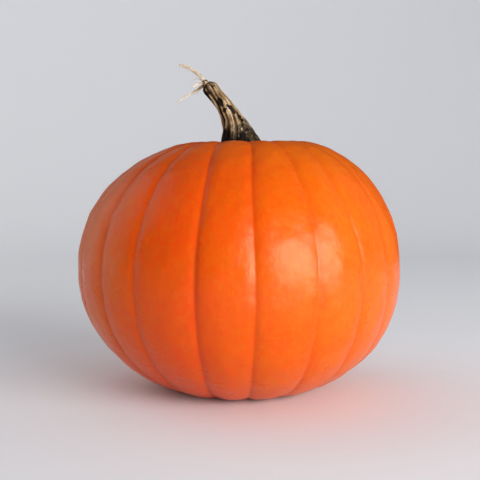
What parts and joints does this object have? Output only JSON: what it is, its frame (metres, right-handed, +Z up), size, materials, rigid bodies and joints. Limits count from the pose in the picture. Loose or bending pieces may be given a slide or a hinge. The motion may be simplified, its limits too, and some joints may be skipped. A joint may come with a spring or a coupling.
{
  "type": "pumpkin",
  "caption": "Ripe ribbed pumpkin as picked, with its curved woody stem and torn vine fibres, standing on its lowest ribs.",
  "frame": {"origin": "on the surface that the pumpkin rests on, under the middle of its bounding box", "axes": "+Z up along the fruit's axis, towards the stem; the front faces -Y, and the stem leans towards -X"},
  "size_m": [0.2214, 0.2216, 0.2238],
  "materials": {
    "rind": "waxy orange rind with a soft sheen and a faint mottle",
    "woody_stem": "dry straw-brown ridges with black-brown spots, dull",
    "dry_fibre": "pale dry plant fibre, dull"
  },
  "bodies": {
    "root": {"fruit": "rind", "stem": "woody_stem", "torn_fibres": "dry_fibre"}
  },
  "joints": []
}
